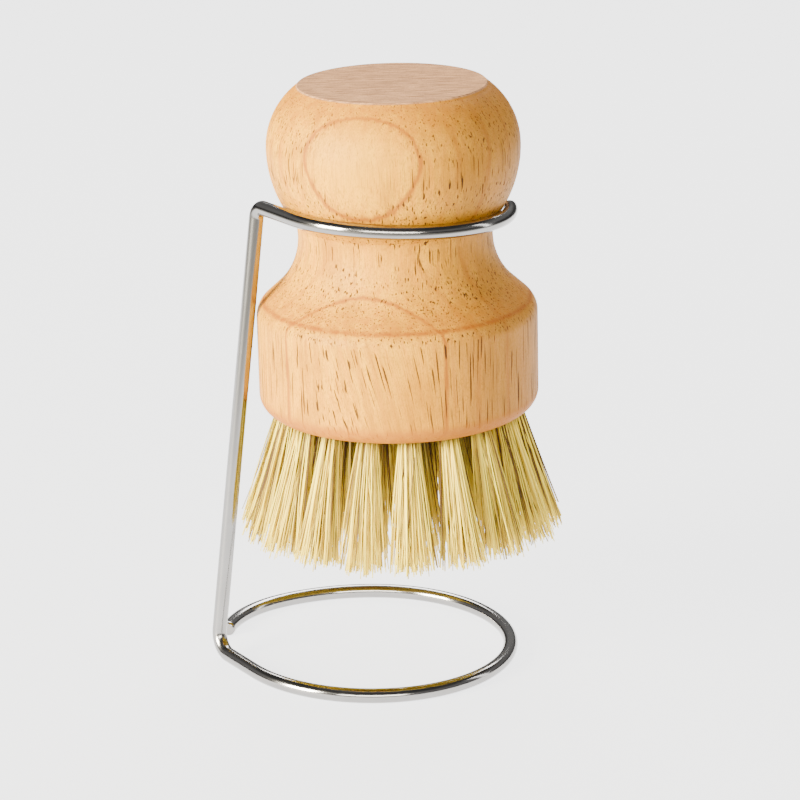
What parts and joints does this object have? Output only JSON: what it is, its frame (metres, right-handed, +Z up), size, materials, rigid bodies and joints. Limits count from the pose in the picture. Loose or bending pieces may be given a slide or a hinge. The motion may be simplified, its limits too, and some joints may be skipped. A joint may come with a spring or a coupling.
{
  "type": "palm brush with wire stand",
  "caption": "Round scrubbing brush with a turned wooden knob handle and splayed plant-fibre tufts, hanging in a bent steel wire stand.",
  "frame": {"origin": "centre of the stand's foot ring, on the surface that it stands on", "axes": "+Z up; +Y towards the cradle ring's open side, where the brush comes out; +X to the right when the open side faces away, with the upright wire at -X"},
  "size_m": [0.0845, 0.0768, 0.1413],
  "materials": {
    "wood": "sanded light hardwood with a thin oil finish",
    "fibre": "dry straw-coloured plant fibre",
    "anchor": "plain galvanised strip",
    "wire": "polished stainless wire"
  },
  "bodies": {
    "stand": {"wire_stand": "wire"},
    "brush": {"handle_block": "wood", "tuft_anchors": "anchor", "tuft_outer_01": "fibre", "tuft_outer_02": "fibre", "tuft_outer_03": "fibre", "tuft_outer_04": "fibre", "tuft_outer_05": "fibre", "tuft_outer_06": "fibre", "tuft_outer_07": "fibre", "tuft_outer_08": "fibre", "tuft_outer_09": "fibre", "tuft_outer_10": "fibre", "tuft_outer_11": "fibre", "tuft_outer_12": "fibre", "tuft_outer_13": "fibre", "tuft_outer_14": "fibre", "tuft_outer_15": "fibre", "tuft_outer_16": "fibre", "tuft_outer_17": "fibre", "tuft_outer_18": "fibre", "tuft_middle_01": "fibre", "tuft_middle_02": "fibre", "tuft_middle_03": "fibre", "tuft_middle_04": "fibre", "tuft_middle_05": "fibre", "tuft_middle_06": "fibre", "tuft_middle_07": "fibre", "tuft_middle_08": "fibre", "tuft_middle_09": "fibre", "tuft_middle_10": "fibre", "tuft_middle_11": "fibre", "tuft_middle_12": "fibre", "tuft_inner_01": "fibre", "tuft_inner_02": "fibre", "tuft_inner_03": "fibre", "tuft_inner_04": "fibre", "tuft_inner_05": "fibre", "tuft_inner_06": "fibre", "tuft_centre": "fibre"}
  },
  "joints": [
    {"name": "lift_out", "type": "slide", "parent": "stand", "child": "brush", "axis": [0.0503, 0.905, 0.4224], "range_m": [0, 0.1]}
  ]
}
